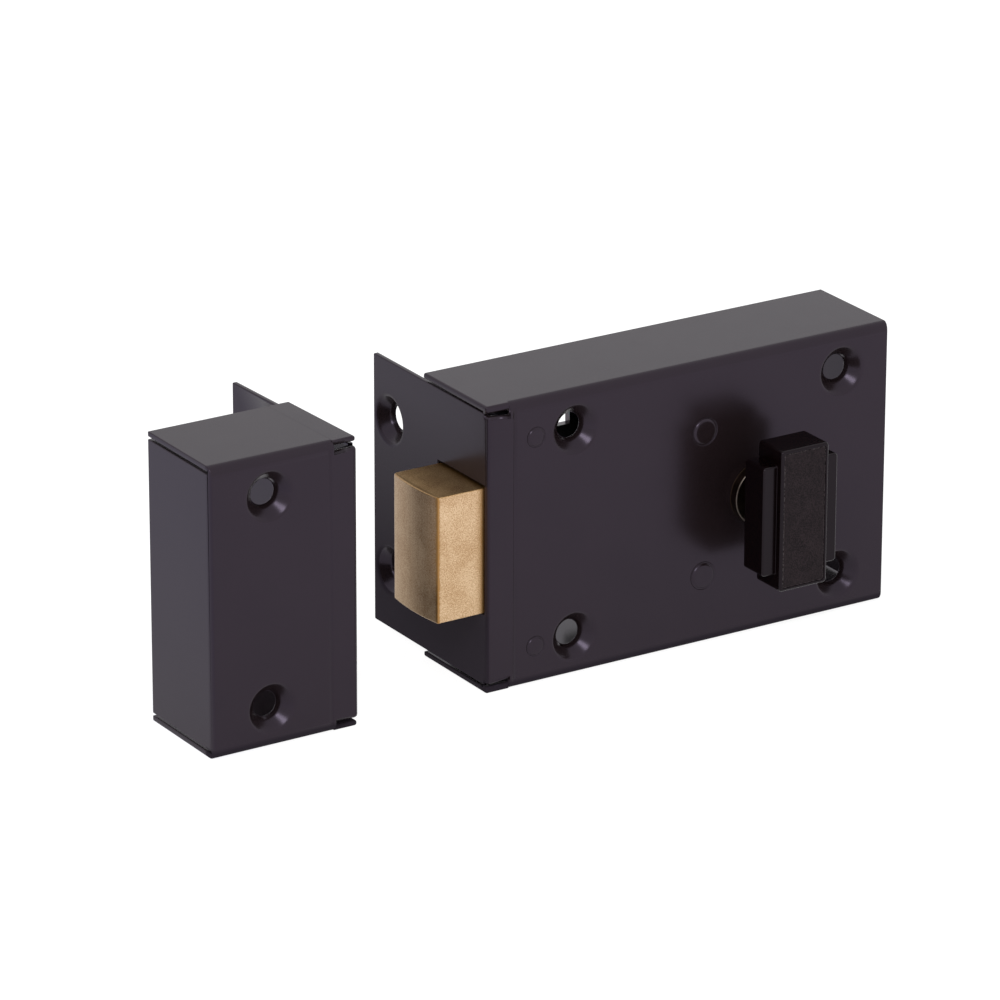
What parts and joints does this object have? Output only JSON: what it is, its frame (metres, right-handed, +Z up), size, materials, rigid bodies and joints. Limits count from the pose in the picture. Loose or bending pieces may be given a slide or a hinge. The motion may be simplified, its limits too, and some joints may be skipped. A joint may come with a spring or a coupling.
{
  "type": "rim box lock",
  "caption": "Surface-mounted door lock in a folded sheet case with a square bolt, a turn knob and a separate box keeper for the frame.",
  "frame": {"origin": "on the knob's axis, in the plane of the door's face", "axes": "+X away from the door's edge along the case, +Y into the door, +Z up"},
  "size_m": [0.1438, 0.0546, 0.055],
  "materials": {
    "painted_sheet": "satin brown-black paint",
    "bolt_brass": "fine ground",
    "collar_brass": "darkened, polished rim",
    "plated_sheet": "black zinc plated",
    "turned_steel": "turned",
    "spring_steel": "blued",
    "cast_zinc": "as cast",
    "knob_plastic": "moulded, semi gloss",
    "panel_plastic": "fine speckle"
  },
  "bodies": {
    "case": {"case_cover": "painted_sheet", "back_plate": "plated_sheet", "bolt_guide": "plated_sheet", "left_posts": "turned_steel", "mid_posts": "turned_steel", "knob_bush": "collar_brass", "bush_nut": "turned_steel", "spring_washer": "spring_steel", "hub_washer": "turned_steel", "detent_spring": "spring_steel", "spring_rivets": "turned_steel", "keeper_cover": "painted_sheet"},
    "bolt": {"bolt_head": "bolt_brass", "bolt_tail": "plated_sheet", "bolt_rivets": "bolt_brass"},
    "knob": {"drive_hub": "cast_zinc", "crank_pin": "turned_steel", "knob_spindle": "turned_steel", "spindle_pin": "turned_steel", "knob_body": "knob_plastic", "knob_panel": "panel_plastic", "knob_screw": "turned_steel"}
  },
  "joints": [
    {"name": "knob_turn", "type": "hinge", "parent": "case", "child": "knob", "pos_m": [0, 0, 0], "axis": [0, 1, 0], "range_deg": [0, 90], "deforming": ["detent_spring"]},
    {"name": "bolt_slide", "type": "slide", "parent": "case", "child": "bolt", "axis": [1, 0, 0], "range_m": [0, 0.0112]}
  ],
  "couplings": [
    {"joint": "knob_turn", "follows": "bolt_slide", "rad_per_m": 140.24}
  ]
}
